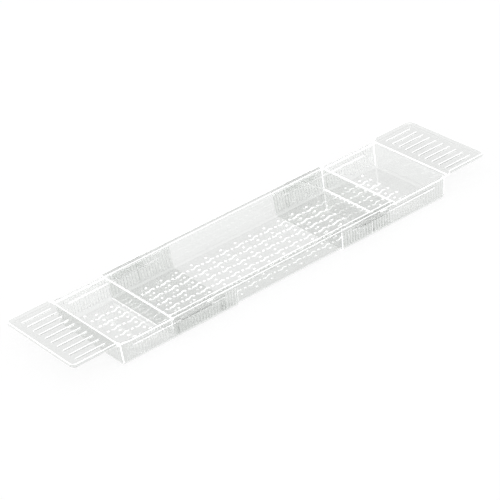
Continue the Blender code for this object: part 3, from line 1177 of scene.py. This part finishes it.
def slot_shape(length, depth):
    """A bar with round ends that cuts a slot through both long walls."""
    shape = bmesh.new()
    bmesh.ops.create_cube(shape, size=1.0)
    bmesh.ops.scale(shape, verts=shape.verts, vec=(length, depth, SLOT_WIDTH))
    ends = [
        edge for edge in shape.edges if abs(edge.verts[0].co.y - edge.verts[1].co.y) > depth / 2
    ]
    round_off(shape, ends, SLOT_WIDTH * ROUND_END_SHARE, ROUND_END_STEPS)
    # The lower face of the slot gets the painted highlight.
    mark_painted_highlight(shape, lambda middle, slant: middle.z < 0 and slant.z > LEVEL_SLANT)
    return shape


def cut_slots(tray):
    """Cut the slot in both long walls."""
    slot = slot_shape(SLOT_LENGTH, 4 * end_inner_side)
    middle = (SLOT_INSET + SLOT_LENGTH / 2, 0, slot_height)
    bmesh.ops.translate(slot, verts=slot.verts, vec=middle)
    apply_boolean(tray, as_object("slot", slot), "DIFFERENCE")


def is_crest(middle, slant):
    """True on the thin line of painted highlight along the top of a bar."""
    return middle.z > 0 and slant.z > LEVEL_SLANT and abs(middle.y) < BAR_HIGHLIGHT_WIDTH / 2


def bar_shape(length):
    """One bar of the ledge, with round ends, sunk half into the panel."""
    shape = bmesh.new()
    bmesh.ops.create_cube(shape, size=1.0)
    bmesh.ops.scale(shape, verts=shape.verts, vec=(length, BAR_WIDTH, 2 * BAR_HEIGHT))
    ends = [edge for edge in shape.edges if rise_of(edge) > BAR_HEIGHT]
    round_off(shape, ends, BAR_WIDTH * ROUND_END_SHARE, ROUND_END_STEPS)
    for side in (-1, 1):
        split_at(shape, side * BAR_HIGHLIGHT_WIDTH / 2, (0, 1, 0))
    # Paint the highlight on the line along the crest.
    mark_painted_highlight(shape, is_crest)
    return shape


def add_bars(tray):
    """Join the bars to the ledge."""
    length = LEDGE_LENGTH - BAR_INNER_INSET - BAR_OUTER_INSET
    bar = as_object("bar", bar_shape(length))
    middle = (tray_length + BAR_INNER_INSET + length / 2, 0, ledge_top)
    apply_grid(tray, join_grid, bar, 1, BAR_COUNT, (0, BAR_PITCH), middle)
    bpy.data.objects.remove(bar)


# %% [markdown]
# ### Floor of an end tray
#
# The floor repeats the centre tray's pattern at the same spacing, with half as many columns. One
# more hole stands in each corner by the end wall.

# %% Holes of an end tray
FIRST_HOLE_INSET = 14.5 * MM
END_COLUMNS = 6


def drill_floor(tray):
    """Cut the holes and the wave slots of an end tray's floor."""
    level = end_floor - WALL / 2
    span = MOTIF_LENGTH * (END_COLUMNS - 1) / 2
    for cutter, first, rows in (
        (pin, FIRST_HOLE_INSET, ROWS),
        (pin, FIRST_HOLE_INSET + MOTIF_LENGTH / 2, ROWS - 1),
        (wave, FIRST_HOLE_INSET, ROWS - 1),
    ):
        apply_grid(tray, cut_grid, cutter, END_COLUMNS, rows, motif, (first + span, 0, level))
    corner_x = FIRST_HOLE_INSET + MOTIF_LENGTH * (END_COLUMNS - 0.5)
    corner_y = end_inner_side - LEAN * (rim_top - end_floor) - END_FILLET - HOLE_DIAMETER
    apply_grid(tray, cut_grid, pin, 1, 2, (0, 2 * corner_y), (corner_x, 0, level))


# %% [markdown]
# ### Both end trays
#
# The left end tray is the right one turned half way round about the upright axis. A mirror image
# would be easier to think of, but it would turn the wave slots the wrong way, and a maker would
# need a second mould for it.

# %% Make both end trays
def make_end_tray(name, mouth, turn):
    """One end tray with its open end at X = mouth, turned about the upright axis."""
    # The end tray's cut edges and their rounding get the painted highlight.
    tray = thicken(as_object(name + "_moulding", end_sheet()), has_highlight_edges=True)
    add_ribs(tray)
    cut_slots(tray)
    add_bars(tray)
    drill_floor(tray)
    move = Matrix.Translation((mouth, 0, 0)) @ Matrix.Rotation(turn, 4, "Z")
    tray.data.transform(move)
    smooth_finish(tray)
    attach(tray, name)
    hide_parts(name)


make_end_tray("right_end_tray", right_low.x, 0.0)
make_end_tray("left_end_tray", left_high.x, math.pi)
bpy.data.objects.remove(pin)
bpy.data.objects.remove(wave)
